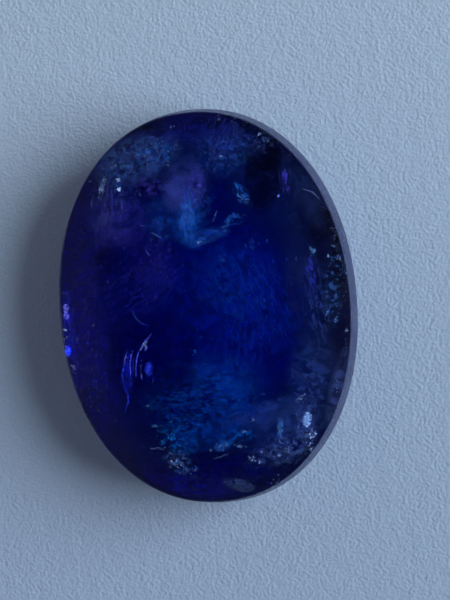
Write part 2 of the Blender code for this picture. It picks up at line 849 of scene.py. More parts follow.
@dataclass(frozen=True)
class Sheet:
    """One thin curved patch in the crystal, placed by where it shows in the photograph.

    Its reach is in pixels along and across its turn, which is in degrees anticlockwise, and its
    depth is in millimetres along the bent ray of sight. It rises and dips by up to swell millimetres,
    in waves of about wave_pixels. Its power is 2 for an oval, and more for a squarer patch.
    """

    middle: Pixel
    reach: tuple[float, float]
    depth: float
    density: float
    tint: Tint = Tint.WHITE
    turn: float = 0.0
    swell: float = 0.15
    edge: float = 1.0
    # how much light the sheet gives off: painted glow
    painted_glow: float = 0.0
    power: float = 2.0
    wave_pixels: float = 24.0
    wave_change: float = 40.0  # how fast the waves change from one depth to another
    shallowest: float = 0.05

    def pixel(self, along: float, across: float) -> Pixel:
        """The pixel that a point of the sheet shows at.

        Args:
            along: how far along the point is, as a share of the reach from the middle.
            across: the same across.

        Returns:
            The pixel.
        """
        angle = math.radians(self.turn)
        x, y = along * self.reach[0], across * self.reach[1]
        right = x * math.cos(angle) + y * math.sin(angle)
        down = -x * math.sin(angle) + y * math.cos(angle)
        return Pixel(self.middle.x + right, self.middle.y + down)

    def point(self, optics: Optics, along: float, across: float) -> Vector:
        """A point of the sheet in the crystal.

        Args:
            optics: what follows the rays of sight.
            along: how far along the point is, as a share of the reach from the middle.
            across: the same across.

        Returns:
            The point.
        """
        pixel = self.pixel(along, across)
        spot = Vector((pixel.x, pixel.y, self.depth * self.wave_change))
        depth = self.depth + noise.noise(spot / self.wave_pixels) * self.swell
        return optics.inside(pixel, max(self.shallowest, depth) * MM)

    def away(self, along: float, across: float) -> float:
        """How far out a point of the sheet is, from 0 in the middle to 1 at the edge."""
        return (abs(along) ** self.power + abs(across) ** self.power) ** (1 / self.power)

    def fade(self, along: float, across: float) -> float:
        """How dense the sheet is here: full in the middle and nothing at its edge."""
        away = min(1.0, self.away(along, across))
        return self.density * (1 - away**2) ** self.edge


@dataclass
class VeilBank:
    """Veils of one finish, joined in one piece.

    A veil is a grid of so many cells each way, and its pattern starts spacing millimetres after the last.
    """

    name: str
    finish: VeilFinish
    sheets: tuple[Sheet, ...]
    optics: Optics
    cells: int = 20
    spacing: float = 37.0

    def add_sheet(self, work: bmesh.types.BMesh, sheet: Sheet, number: int) -> None:
        """Adds a sheet as a round grid of quads, with how dense and what colour it is.

        Args:
            work: the mesh to add to.
            sheet: where and what it is.
            number: its place in the bank, which moves its pattern on from the others'.
        """
        density = work.verts.layers.float["milk"]
        tint = work.verts.layers.float_color["tint"]
        painted_glow = work.verts.layers.float["painted_glow"]
        spread = work.loops.layers.uv["spread"]
        outermost = 1 + 2 / self.cells
        grid, flat = {}, {}
        for row in range(self.cells + 1):
            for column in range(self.cells + 1):
                along, across = 2 * column / self.cells - 1, 2 * row / self.cells - 1
                if sheet.away(along, across) > outermost:
                    continue
                vert = work.verts.new(sheet.point(self.optics, along, across))
                vert[density] = sheet.fade(along, across) * self.optics.shows(sheet.pixel(along, across))
                vert[tint] = (*sheet.tint.value, 1.0)
                vert[painted_glow] = sheet.painted_glow
                grid[row, column] = vert
                reach = [share * size * PIXEL_SIZE for share, size in zip((along, across), sheet.reach)]
                flat[vert] = (reach[0] + number * self.spacing, reach[1])
        for row, column in grid:
            around = [(row, column), (row + 1, column), (row + 1, column + 1), (row, column + 1)]
            if all(place in grid for place in around):
                face = work.faces.new([grid[place] for place in around])
                for loop in face.loops:
                    loop[spread].uv = flat[loop.vert]

    def build(self) -> None:
        """Makes the piece."""
        work = bmesh.new()
        for name in ("milk", "painted_glow"):
            work.verts.layers.float.new(name)
        work.verts.layers.float_color.new("tint")
        work.loops.layers.uv.new("spread")
        for number, sheet in enumerate(self.sheets):
            self.add_sheet(work, sheet, number)
        piece = new_piece(self.name, new_mesh(self.name, work))
        piece.data.materials.append(self.finish.material())
        declare(piece)


@dataclass(frozen=True)
class PaintedGlintFinish:
    """The skin of a small grain, needle or crack, made bright by painted glints that it gives off itself.

    Its spots are in millimetres. Between them it gives off dim times its painted glow, and bright more on
    them.
    """

    name: str
    roughness: float = 0.35
    mottle: float = 0.3
    spot_size: float = 0.07
    spot_band: Band = (0.35, 0.65)
    dim: float = 0.4
    bright: float = 0.8

    def material(self) -> bpy.types.Material:
        """Makes the material. It reads its colour and its painted glow from the mesh.

        Returns:
            The material.
        """
        material, desk = new_material(self.name)
        tint = desk.painted("tint", "Color")
        spots = desk.noise(desk.millimetres(), self.spot_size, detail=2.0).ease(*self.spot_band)
        # Painted glints: light given off by the glow, brighter on the spots.
        painted_gleam = desk.painted("painted_glow", "Fac") * (spots * self.bright + self.dim)
        inputs = {
            "Base Color": desk.mix(spots * self.mottle, tint, Tint.GREY.value),
            "Roughness": self.roughness,
            "Emission Color": desk.scaled(tint, painted_gleam),
            "Emission Strength": 1.0,
        }
        desk.finish_material(desk.surface(inputs))
        return material


def painted_sparkle(chance: random.Random, painted_glow: float) -> float:
    """The painted glow of one small face: little for most, and the full glow for a few."""
    return painted_glow * (FAINTEST + (1 - FAINTEST) * chance.random() ** 2)


class ShapeTree:
    """A Geometry Nodes tree with named inputs, which makes one plain mesh from a carrier."""

    def __init__(self, name: str, inputs: dict[str, str]) -> None:
        """Starts the tree.

        Args:
            name: what to call it.
            inputs: the socket type of each value that it takes beside the carrier, by name.
        """
        self.tree = bpy.data.node_groups.new(name, "GeometryNodeTree")
        self.desk = Desk(self.tree)
        self._add_socket("Geometry", "INPUT", "NodeSocketGeometry")
        self.sockets = {label: self._add_socket(label, "INPUT", kind) for label, kind in inputs.items()}
        self._add_socket("Geometry", "OUTPUT", "NodeSocketGeometry")

    def _add_socket(self, label: str, side: str, kind: str) -> str:
        """Adds a socket to the tree, and gives its identifier."""
        return self.tree.interface.new_socket(label, in_out=side, socket_type=kind).identifier

    def given(self, label: str) -> Wire:
        """The wire from one of the tree's own inputs."""
        return self.desk.node("NodeGroupInput", output=label)

    def carried(self, label: str, kind: str = "FLOAT") -> Wire:
        """A value that each point of the carrier has."""
        return self.desk.node("GeometryNodeInputNamedAttribute", {"data_type": kind}, {"Name": label})

    def real(self, geometry: Wire) -> Wire:
        """The geometry with its instances made real."""
        return self.desk.node("GeometryNodeRealizeInstances", None, {"Geometry": geometry})

    def finish(self, geometry: Wire, material: bpy.types.Material) -> None:
        """Gives the geometry its material and joins it to the tree's output."""
        done = self.desk.node("GeometryNodeSetMaterial", None, {"Geometry": geometry, "Material": material})
        self.desk.node("NodeGroupOutput", None, {"Geometry": done})

    def run(self, carrier: bpy.types.Mesh, values: dict[str, float]) -> bpy.types.Mesh:
        """Runs the tree.

        Args:
            carrier: the mesh that it starts from.
            values: what each named input is set to.

        Returns:
            The finished mesh.
        """
        piece = new_piece("carrier", carrier)
        modifier = piece.modifiers.new("nodes", "NODES")
        modifier.node_group = self.tree
        for label, value in values.items():
            modifier[self.sockets[label]] = value
        graph = bpy.context.evaluated_depsgraph_get()
        mesh = bpy.data.meshes.new_from_object(piece.evaluated_get(graph), depsgraph=graph)
        piece.modifiers.clear()
        bpy.data.objects.remove(piece)
        return mesh


@dataclass(frozen=True)
class Cluster:
    """A cloud of small grains round a pixel.

    Depths and sizes are in millimetres, and turns in degrees anticlockwise. A grain is long times
    longer than it is wide, and lies along way, give or take stray. Its painted glow is light it gives off as
    a glint.
    """

    middle: Pixel
    reach: tuple[float, float]
    count: int
    depth: float
    painted_glow: float
    size: float = 0.06
    tint: Tint = Tint.GLINT
    turn: float = 0.0
    long: float = 1.5
    way: float = 0.0
    stray: float = 90.0
    spread: float = 0.2


@dataclass
class Grains:
    """All grains of one finish: the small crystals and drops inside the stone, most of them bright with
    painted glow.

    Crowding of 0.5 spreads a cluster's grains evenly, and more draws them in towards its middle.
    Unevenness is how far a grain's skin is pushed about, in bumps of which so many go to a millimetre.
    """

    name: str
    finish: PaintedGlintFinish
    clusters: tuple[Cluster, ...]
    optics: Optics
    seed: int = 7
    crowding: float = 0.7
    shallowest: float = 0.06
    sizes: Band = (0.35, 0.95)
    lengths: Band = (0.7, 1.3)
    thinnest: float = 0.45
    unevenness: float = 0.03 * MM
    bumps: float = 12.0

    def points(self) -> bpy.types.Mesh:
        """Scatters the clusters.

        Returns:
            One point for each grain, with its size, length, way, colour and painted glow.
        """
        chance = random.Random(self.seed)
        work = bmesh.new()
        size, long, painted_glow = (work.verts.layers.float.new(name) for name in ("size", "long", "painted_glow"))
        lies = work.verts.layers.float_vector.new("way")
        tint = work.verts.layers.float_color.new("tint")
        for cluster in self.clusters:
            region = Sheet(cluster.middle, cluster.reach, cluster.depth, density=1.0, turn=cluster.turn)
            for _ in range(cluster.count):
                angle, away = chance.uniform(0, math.tau), chance.random() ** self.crowding
                pixel = region.pixel(away * math.cos(angle), away * math.sin(angle))
                depth = cluster.depth + chance.uniform(-1, 1) * cluster.spread
                depth = max(self.shallowest, depth) * MM
                point = self.optics.inside(pixel, depth)
                turn = math.radians(cluster.way + chance.uniform(-1, 1) * cluster.stray)
                ahead = Pixel(pixel.x + math.cos(turn), pixel.y - math.sin(turn))
                vert = work.verts.new(point)
                vert[lies] = (self.optics.inside(ahead, depth) - point).normalized()
                vert[size] = cluster.size / 2 * MM * chance.uniform(*self.sizes)
                vert[long] = cluster.long * chance.uniform(*self.lengths)
                vert[painted_glow] = painted_sparkle(chance, cluster.painted_glow)
                vert[tint] = (*cluster.tint.value, 1.0)
        return new_mesh(self.name, work)

    def tree(self) -> ShapeTree:
        """Builds the tree that puts an uneven grain on every point.

        Returns:
            The tree, with the inputs Unevenness and Seed.
        """
        tree = ShapeTree(self.name, {"Unevenness": "NodeSocketFloat", "Seed": "NodeSocketInt"})
        desk, seed = tree.desk, tree.given("Seed")
        ball = desk.node("GeometryNodeMeshIcoSphere", None, {"Radius": 1.0, "Subdivisions": 1})
        size, long = tree.carried("size"), tree.carried("long")
        upright = {"Vector": tree.carried("way", "FLOAT_VECTOR")}
        laid = desk.node("FunctionNodeAlignRotationToVector", {"axis": "X"}, upright)
        thins = []
        for step in (0, 1):
            drawn = {2: self.thinnest, 3: 1.0, "Seed": seed + step}
            thins.append(desk.node("FunctionNodeRandomValue", {"data_type": "FLOAT"}, drawn, 1))
        sizes = {0: size * long, 1: size * thins[0], 2: size * thins[1]}
        scale = desk.node("ShaderNodeCombineXYZ", None, sizes)
        places = {"Points": tree.given("Geometry"), "Instance": ball, "Rotation": laid, "Scale": scale}
        grains = tree.real(desk.node("GeometryNodeInstanceOnPoints", None, places))
        lumps = {"Vector": desk.node("GeometryNodeInputPosition"), "Scale": self.bumps / MM, "Detail": 1.0}
        bumps = desk.node("ShaderNodeTexNoise", {"noise_dimensions": "3D"}, lumps, "Color")
        centred = desk.node("ShaderNodeVectorMath", {"operation": "SUBTRACT"}, {0: bumps, 1: (0.5, 0.5, 0.5)})
        push = desk.scaled(centred, tree.given("Unevenness"))
        shaped = desk.node("GeometryNodeSetPosition", None, {"Geometry": grains, "Offset": push})
        tree.finish(shaped, self.finish.material())
        return tree

    def build(self) -> None:
        """Makes the piece."""
        mesh = self.tree().run(self.points(), {"Unevenness": self.unevenness, "Seed": self.seed})
        declare(new_piece(self.name, mesh))


@dataclass(frozen=True)
class Line:
    """A needle, tube or crack edge through a few pixels. Depth and thickness are in millimetres."""

    pixels: tuple[Pixel, ...]
    depth: float
    thickness: float
    tint: Tint
    # how much light the line gives off: painted glints
    painted_glow: float


def path(*places: tuple[float, float]) -> tuple[Pixel, ...]:
    """The pixels that a line goes through."""
    return tuple(Pixel(*place) for place in places)


@dataclass
class Threads:
    """All needles and crack edges of one finish.

    A thread wanders by so many pixels at each step and tapers to tip times its thickness.
    """

    name: str
    finish: PaintedGlintFinish
    lines: tuple[Line, ...]
    optics: Optics
    sides: int = 6
    steps: int = 12
    seed: int = 11
    wander: float = 0.4
    tip: float = 0.25
    sizes: Band = (0.5, 1.3)

    def paths(self) -> bpy.types.Mesh:
        """Lays out the threads.

        Returns:
            Their middle lines, with the thickness, colour and painted glow at each point.
        """
        chance = random.Random(self.seed)
        work = bmesh.new()
        size, painted_glow = (work.verts.layers.float.new(name) for name in ("size", "painted_glow"))
        tint = work.verts.layers.float_color.new("tint")
        for line in self.lines:
            corners = [Vector(pixel) for pixel in line.pixels]
            legs = len(corners) - 1
            total = self.steps * legs
            last = None
            for step in range(total + 1):
                share = step / total
                leg = min(int(share * legs), legs - 1)
                spot = corners[leg].lerp(corners[leg + 1], share * legs - leg)
                spot += Vector([chance.uniform(-self.wander, self.wander) for _ in range(2)])
                vert = work.verts.new(self.optics.inside(Pixel(*spot), line.depth * MM))
                taper = self.tip + (1 - self.tip) * math.sin(math.pi * share)
                vert[size] = line.thickness / 2 * MM * taper * chance.uniform(*self.sizes)
                vert[painted_glow] = painted_sparkle(chance, line.painted_glow)
                vert[tint] = (*line.tint.value, 1.0)
                if last:
                    work.edges.new((last, vert))
                last = vert
        return new_mesh(self.name, work)

    def tree(self) -> ShapeTree:
        """Builds the tree that turns paths into tapering threads.

        Returns:
            The tree, with the input Sides.
        """
        tree = ShapeTree(self.name, {"Sides": "NodeSocketInt"})
        desk = tree.desk
        curve = desk.node("GeometryNodeMeshToCurve", None, {"Mesh": tree.given("Geometry")})
        round_shape = {"Resolution": tree.given("Sides"), "Radius": 1.0}
        ring = desk.node("GeometryNodeCurvePrimitiveCircle", None, round_shape)
        swept = {"Curve": curve, "Profile Curve": ring, "Scale": tree.carried("size"), "Fill Caps": True}
        tube = desk.node("GeometryNodeCurveToMesh", None, swept)
        tree.finish(tree.real(tube), self.finish.material())
        return tree

    def build(self) -> None:
        """Makes the piece."""
        mesh = self.tree().run(self.paths(), {"Sides": self.sides})
        declare(new_piece(self.name, mesh))


@dataclass(frozen=True)
class FloorFinish:
    """Pale blue-grey card with a fine tooth, and painted light that makes it a little paler towards the
    stone's upper end.

    The tooth is in millimetres, with a coarser and a finer pattern of so many times its size.
    """

    near_colour: Colour = (0.60, 0.715, 0.91)
    painted_light_colour: Colour = (0.73, 0.85, 1.0)
    fade: float = 15.0
    fleck: float = 0.10
    fleck_size: float = 0.8
    fleck_band: Band = (0.25, 0.75)
    fleck_colour: Colour = (0.2, 0.24, 0.34)
    roughness: float = 0.85
    specular: float = 0.2
    tooth: float = 0.13
    coarse_size: float = 4.0
    coarse_share: float = 0.8
    relief: float = 0.05 * MM
    relief_strength: float = 0.85

    def material(self) -> bpy.types.Material:
        """Makes the material.

        Returns:
            The material.
        """
        material, desk = new_material("floor_card")
        place = desk.millimetres()
        coarse = desk.noise(place, self.tooth * self.coarse_size, detail=2.0) * self.coarse_share
        raised = {
            "Height": desk.noise(place, self.tooth, detail=3.0) + coarse,
            "Strength": self.relief_strength,
            "Distance": self.relief,
        }
        # Painted light: the card turns paler towards the stone's upper end.
        along = desk.coordinate(place, "Y").ease(-self.fade, self.fade)
        card = desk.mix(along, self.near_colour, self.painted_light_colour)
        flecks = desk.noise(place, self.tooth * self.fleck_size, detail=2.0).ease(*self.fleck_band)
        inputs = {
            "Base Color": desk.mix(flecks * self.fleck, card, self.fleck_colour),
            "Roughness": self.roughness,
            "Specular IOR Level": self.specular,
            "Normal": desk.node("ShaderNodeBump", None, raised),
        }
        desk.finish_material(desk.surface(inputs))
        return material


CREASE_CHIPS = (
    (Pixel(284, 152), 52),
    (Pixel(305, 178), 38),
    (Pixel(322, 205), 28),
    (Pixel(335, 235), 20),
    (Pixel(343, 265), 12),
    (Pixel(347, 295), 4),
    (Pixel(348, 325), -2),
    (Pixel(345, 358), -10),
    (Pixel(338, 392), -18),
    (Pixel(326, 422), -28),
    (Pixel(308, 450), -40),
)


@dataclass
class Flaws:
    """Every flaw inside the stone, with sheets of painted shade and painted glow among them, by the part of
    the photograph in which it shows.

    A sheet's row gives its middle, reach, depth, density and tint. A cluster's row gives its middle,
    reach, number of grains, depth and painted glow, and a line's its path, depth, thickness, tint and painted
    glow.
    """

    optics: Optics

    def painted_shade(self) -> VeilBank:
        """Painted shade: dark sheets laid where the stone sends little light back.

        Returns:
            The bank of veils.
        """
        sheets = (
            Sheet(Pixel(263, 171), (19, 46), 1.1, 0.97, Tint.DARK, turn=-4, edge=0.4),
            Sheet(Pixel(322, 223), (16, 24), 1.2, 0.85, Tint.DARK, turn=-14),
            Sheet(Pixel(334, 268), (20, 78), 1.3, 0.60, Tint.DARK, turn=-4),
            Sheet(Pixel(205, 124), (90, 12), 1.2, 0.50, Tint.DARK, turn=3),
            Sheet(Pixel(153, 353), (45, 43), 1.5, 0.90, Tint.NIGHT, edge=0.35, power=5.0),
            Sheet(Pixel(104, 264), (17, 24), 1.2, 0.80, Tint.NIGHT, turn=-20, edge=0.5),
            Sheet(Pixel(215, 474), (70, 22), 1.4, 0.90, Tint.NIGHT, turn=4, edge=0.6),
            Sheet(Pixel(274, 368), (28, 34), 1.9, 0.75, Tint.NIGHT, turn=-20),
            Sheet(Pixel(226, 238), (36, 5), 1.1, 0.85, Tint.NIGHT, turn=22),
            Sheet(Pixel(216, 204), (11, 27), 1.0, 0.90, Tint.NIGHT, turn=-6, edge=0.6),
            Sheet(Pixel(157, 133), (8, 6), 0.8, 0.85, Tint.NIGHT),
            Sheet(Pixel(148, 187), (15, 9), 0.8, 0.80, Tint.NIGHT, turn=10),
        )
        finish = VeilFinish(
            "painted_shade_veil", lump=0.7, long=1.5, thin=0.36, thick=0.56, detail=4.0, ground=0.35
        )
        return VeilBank("painted_shade_veils", finish, sheets, self.optics)

    def painted_glow(self) -> VeilBank:
        """The broad blue and teal veils in the middle of the stone, most of them with painted glow.

        Returns:
            The bank of veils.
        """
        sheets = (
            Sheet(Pixel(225, 315), (95, 90), 3.2, 0.60, Tint.CORE, painted_glow=0.05),
            Sheet(Pixel(212, 396), (72, 48), 2.7, 0.90, Tint.TEAL, turn=6, painted_glow=0.04),
            Sheet(Pixel(205, 430), (46, 24), 1.9, 0.80, Tint.TEAL, turn=8, painted_glow=0.04),
            Sheet(Pixel(187, 214), (8, 22), 1.3, 0.90, Tint.BLUE, turn=-4, painted_glow=0.18),
            Sheet(Pixel(189, 220), (19, 32), 1.6, 0.85, Tint.TEAL, turn=-6, edge=1.4, painted_glow=0.10),
            Sheet(Pixel(206, 237), (26, 11), 1.5, 0.85, Tint.BLUE, turn=18, edge=1.5, painted_glow=0.08),
            Sheet(Pixel(162, 221), (24, 26), 1.4, 0.90, Tint.BLUE, turn=10, painted_glow=0.06),
            Sheet(Pixel(236, 274), (50, 50), 2.5, 0.40, Tint.CORE, turn=20, painted_glow=0.02),
            Sheet(Pixel(222, 152), (40, 30), 1.9, 0.45, Tint.BLUE, turn=10),
        )
        finish = VeilFinish(
            "deep_glow", lump=0.55, long=1.3, thin=0.40, thick=0.62, detail=4.0, rough=0.66, ground=0.25
        )
        return VeilBank("deep_glow", finish, sheets, self.optics)

    def haze(self) -> VeilBank:
        """Shallow violet and grey haze, most of it with painted glow, and painted glints in the SPARK and
        GLINT rows.

        Returns:
            The bank of veils.
        """
        sheets = (
            # The first row is a deep blue sheet of painted shade along the left wall.
            Sheet(Pixel(76, 300), (24, 125), 0.5, 0.95, Tint.DEEP, turn=-2, edge=0.5),
            Sheet(Pixel(88, 352), (22, 40), 0.6, 0.85, Tint.DEEP, edge=0.2, painted_glow=0.04, power=8.0),
            Sheet(Pixel(96, 412), (24, 56), 0.6, 0.90, Tint.DEEP, turn=-28),
            Sheet(Pixel(185, 187), (26, 33), 1.1, 0.90, Tint.LILAC, turn=-8, edge=1.2, painted_glow=0.04),
            Sheet(Pixel(174, 190), (15, 24), 1.0, 0.70, Tint.LILAC, edge=1.3, painted_glow=0.04),
            Sheet(Pixel(138, 160), (50, 28), 1.2, 0.85, Tint.MILK, turn=24, painted_glow=0.04),
            Sheet(Pixel(190, 130), (66, 20), 0.9, 0.55, Tint.DEEP, turn=4, painted_glow=0.02),
            Sheet(Pixel(312, 372), (28, 48), 1.1, 0.60, Tint.GREY, turn=-12),
            Sheet(Pixel(190, 485), (66, 16), 0.6, 0.70, Tint.DEEP, turn=-6, painted_glow=0.01),
            Sheet(Pixel(292, 428), (44, 34), 1.2, 0.50, Tint.MILK, turn=30),
            Sheet(Pixel(306, 190), (18, 50), 1.0, 0.40, Tint.GREY, turn=26),
            Sheet(Pixel(258, 415), (52, 14), 1.4, 0.60, Tint.MILK, turn=20),
            Sheet(Pixel(118, 222), (36, 32), 1.0, 0.75, Tint.VIOLET, turn=30, painted_glow=0.05),
            Sheet(Pixel(152, 262), (30, 40), 1.3, 0.50, Tint.VIOLET, turn=10, painted_glow=0.04),
            Sheet(Pixel(149, 369), (5, 8), 0.7, 0.95, Tint.SPARK, painted_glow=0.75),
            Sheet(Pixel(307, 419), (5, 9), 0.8, 0.95, Tint.GLINT, turn=-8, painted_glow=0.50),
            Sheet(Pixel(222, 446), (9, 6), 1.1, 0.95, Tint.BLUE, turn=15, painted_glow=0.22),
            Sheet(Pixel(239, 485), (18, 7), 0.6, 0.90, Tint.FOG, turn=-12, painted_glow=0.04),
            Sheet(Pixel(338, 388), (10, 48), 0.5, 0.80, Tint.GREY, turn=-14, painted_glow=0.02),
            Sheet(Pixel(280, 430), (4, 15), 0.9, 0.85, Tint.ICE, turn=-4, painted_glow=0.08),
            Sheet(Pixel(128, 374), (7, 28), 0.9, 0.85, Tint.SPARK, painted_glow=0.07),
        )
        finish = VeilFinish(
            "shallow_haze", lump=0.45, long=1.6, thin=0.36, thick=0.62, detail=4.0, rough=0.58
        )
        return VeilBank("shallow_haze", finish, sheets, self.optics)

    def wisps(self) -> VeilBank:
        """Streaks and dashes drawn out along their own ways.

        Returns:
            The bank of veils.
        """
        sheets = (
            # The NIGHT rows are dark sheets of painted shade, and most others carry painted glow.
            Sheet(Pixel(200, 390), (66, 36), 1.7, 0.85, Tint.TEAL, turn=4, painted_glow=0.05),
            Sheet(Pixel(186, 400), (52, 28), 1.2, 0.90, Tint.NIGHT, turn=2),
            Sheet(Pixel(188, 214), (34, 12), 1.0, 0.95, Tint.BLUE, turn=93, painted_glow=0.20),
            Sheet(Pixel(208, 239), (24, 10), 1.2, 0.90, Tint.BLUE, turn=20, edge=1.3, painted_glow=0.12),
            Sheet(Pixel(194, 188), (26, 14), 0.8, 0.80, Tint.VIOLET, turn=75, painted_glow=0.06),
            Sheet(Pixel(82, 330), (90, 20), 0.6, 0.80, Tint.VIOLET, turn=88, painted_glow=0.05),
            Sheet(Pixel(68, 322), (36, 7), 0.3, 0.80, Tint.SPARK, turn=93, painted_glow=0.16),
            Sheet(Pixel(106, 214), (40, 22), 0.8, 0.75, Tint.LILAC, turn=84, painted_glow=0.03),
            Sheet(Pixel(230, 284), (54, 40), 1.8, 0.36, Tint.TEAL, turn=-60, painted_glow=0.03),
            Sheet(Pixel(268, 300), (60, 26), 1.6, 0.45, Tint.CORE, turn=-66, painted_glow=0.04),
            Sheet(Pixel(316, 300), (56, 16), 1.1, 0.65, Tint.GREY, turn=98),
            Sheet(Pixel(140, 290), (54, 30), 1.3, 0.60, Tint.VIOLET, turn=40, painted_glow=0.02),
            Sheet(Pixel(245, 345), (44, 36), 1.8, 0.50, Tint.CORE, turn=80, painted_glow=0.05),
            Sheet(Pixel(222, 136), (46, 24), 1.0, 0.50, Tint.LILAC, turn=70),
            Sheet(Pixel(285, 177), (22, 7), 0.8, 0.80, Tint.VIOLET, turn=95, painted_glow=0.04),
            Sheet(Pixel(311, 275), (24, 6), 0.9, 0.95, Tint.EDGE, turn=-80, painted_glow=0.09),
            Sheet(Pixel(93, 385), (42, 14), 0.6, 0.60, Tint.LILAC, turn=80),
            Sheet(Pixel(150, 245), (40, 22), 1.2, 0.60, Tint.NIGHT, turn=50),
        )
        finish = VeilFinish(
            "wisp", lump=0.17, long=2.8, thin=0.46, thick=0.60, detail=3.0, rough=0.66, bend=0.7, ground=0.0
        )
        return VeilBank("wisps", finish, sheets, self.optics)

    def frost(self) -> VeilBank:
        """Patches of fine frosty grain: pale ones, most with painted glow, and dark NIGHT sheets of painted
        shade.

        Returns:
            The bank of veils.
        """
        sheets = (
            Sheet(Pixel(138, 158), (48, 24), 1.0, 0.95, Tint.ICE, turn=24, painted_glow=0.10),
            Sheet(Pixel(154, 153), (24, 16), 1.0, 0.90, Tint.TEAL, turn=10, painted_glow=0.08),
            Sheet(Pixel(140, 162), (42, 24), 0.8, 0.75, Tint.NIGHT, turn=24),
            Sheet(Pixel(102, 188), (4, 11), 0.5, 0.95, Tint.MILK, turn=-14, painted_glow=0.05),
            Sheet(Pixel(224, 150), (34, 28), 1.2, 0.60, Tint.ICE, turn=10, painted_glow=0.02),
            Sheet(Pixel(246, 140), (24, 16), 1.0, 0.40, Tint.LILAC, turn=-30),
            Sheet(Pixel(306, 420), (11, 24), 0.9, 0.60, Tint.MILK, turn=-14, painted_glow=0.05),
            Sheet(Pixel(288, 446), (30, 18), 1.0, 0.85, Tint.MILK, turn=12, painted_glow=0.05),
            Sheet(Pixel(238, 437), (22, 12), 1.3, 0.85, Tint.TEAL, turn=10, painted_glow=0.10),
            Sheet(Pixel(238, 482), (22, 9), 0.5, 0.80, Tint.NIGHT, turn=-8),
            Sheet(Pixel(333, 284), (12, 50), 1.1, 0.60, Tint.ICE, turn=-3),
            Sheet(Pixel(178, 440), (24, 16), 1.3, 0.90, Tint.TEAL, turn=-20, painted_glow=0.14),
            Sheet(Pixel(182, 464), (24, 14), 1.0, 0.70, Tint.ICE, turn=-30, painted_glow=0.05),
            Sheet(Pixel(264, 142), (14, 12), 1.0, 0.60, Tint.MILK, turn=-40),
            Sheet(Pixel(206, 206), (12, 24), 1.2, 0.75, Tint.BLUE, turn=-8, painted_glow=0.06),
            Sheet(Pixel(241, 194), (18, 8), 1.0, 0.90, Tint.BLUE, turn=-55, painted_glow=0.08),
            Sheet(Pixel(233, 220), (15, 9), 1.1, 0.90, Tint.BLUE, turn=30, painted_glow=0.06),
            Sheet(Pixel(310, 385), (24, 38), 1.1, 0.60, Tint.MILK),
            Sheet(Pixel(114, 206), (36, 30), 1.0, 0.65, Tint.LILAC, turn=20),
            Sheet(Pixel(148, 186), (17, 12), 0.7, 0.60, Tint.VIOLET, painted_glow=0.10),
            Sheet(Pixel(200, 402), (62, 34), 1.7, 0.85, Tint.TEAL, turn=8, painted_glow=0.06),
            Sheet(Pixel(190, 420), (50, 22), 1.1, 0.85, Tint.NIGHT, turn=4),
            Sheet(Pixel(312, 251), (5, 6), 0.8, 0.95, Tint.ICE, painted_glow=0.25),
            Sheet(Pixel(228, 286), (44, 40), 1.8, 0.28, Tint.TEAL, turn=15, painted_glow=0.02),
            Sheet(Pixel(286, 452), (28, 16), 0.8, 0.80, Tint.FOG, turn=15),
            Sheet(Pixel(284, 446), (30, 20), 0.7, 0.70, Tint.NIGHT, turn=10),
            Sheet(Pixel(268, 456), (30, 14), 0.9, 0.75, Tint.GREY, turn=10, painted_glow=0.04),
        )
        finish = VeilFinish(
            "frost", lump=0.24, long=1.3, thin=0.47, thick=0.61, detail=3.0, rough=0.68, ground=0.0
        )
        return VeilBank("frost", finish, sheets, self.optics)

    def crease_chips(self) -> tuple[Cluster, ...]:
        """Tiny dark and grey chips all along the right-hand crease, laid as the crease turns.

        Returns:
            Two clusters at each of its places.
        """
        return tuple(
            Cluster(pixel, (2.5, 11.0), 7, 0.08, painted_glow=0.0, size=0.05, tint=tint, turn=turn, spread=0.05)
            for pixel, turn in CREASE_CHIPS
            for tint in (Tint.DARK, Tint.GREY)
        )

